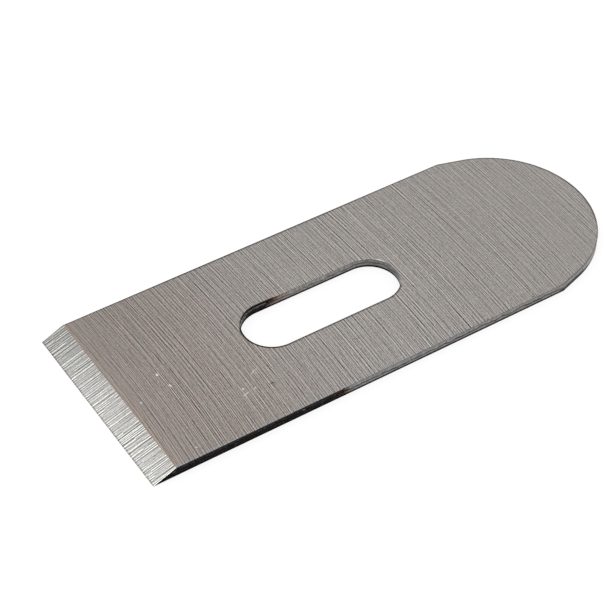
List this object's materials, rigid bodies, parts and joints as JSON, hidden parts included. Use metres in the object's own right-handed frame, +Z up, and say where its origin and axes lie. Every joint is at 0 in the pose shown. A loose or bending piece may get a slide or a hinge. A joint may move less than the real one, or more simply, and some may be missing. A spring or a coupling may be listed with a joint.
{
  "type": "plane iron",
  "caption": "Flat steel plane iron with a ground bevel, a round heel end with short straight shoulders, and a long slot for the screw of the plane's cap.",
  "frame": {"origin": "middle of the flat underside, halfway along the length and the width", "axes": "+X from the cutting edge to the round end, +Y across the blade, +Z up, out of the face that holds the bevel"},
  "size_m": [0.108, 0.041, 0.002],
  "materials": {
    "tool_steel": "ground across the width in fine lines, bevel ground bright, edges dark from hardening near the cutting end"
  },
  "bodies": {
    "root": {"plane_iron": "tool_steel"}
  },
  "joints": []
}
